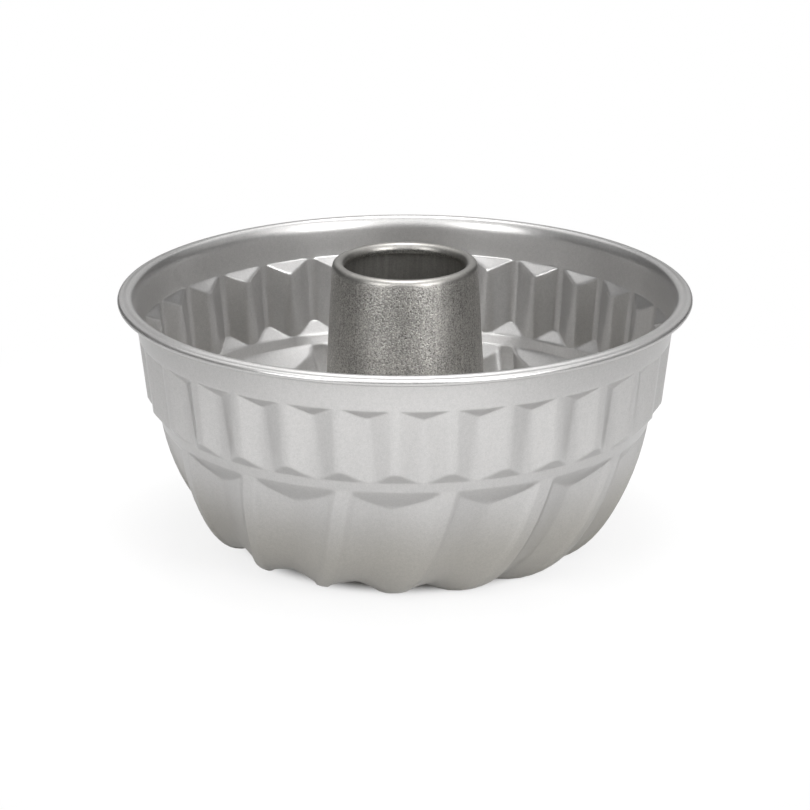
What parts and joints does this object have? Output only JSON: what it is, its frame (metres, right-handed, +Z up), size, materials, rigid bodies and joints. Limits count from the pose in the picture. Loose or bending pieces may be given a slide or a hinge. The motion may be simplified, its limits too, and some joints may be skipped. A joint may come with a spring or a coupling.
{
  "type": "fluted tube pan",
  "caption": "Deep round baking mould with straight flutes over a ring of swirling flutes, a rolled wired rim and a seamed centre tube that stands above it.",
  "frame": {"origin": "on the table, under the middle of the pan", "axes": "+Z up along the tube; -Y to the front, where a ridge of the upper flutes faces; +X to the right"},
  "size_m": [0.22, 0.22, 0.1122],
  "materials": {
    "silver_coating": "satin silver non-stick coating on pressed sheet steel",
    "tube_coating": "dark grey metallic non-stick coating with a fine grain",
    "bright_wire": "plain drawn wire"
  },
  "bodies": {
    "root": {"fluted_shell": "silver_coating", "centre_tube": "tube_coating", "rim_wire": "bright_wire"}
  },
  "joints": []
}
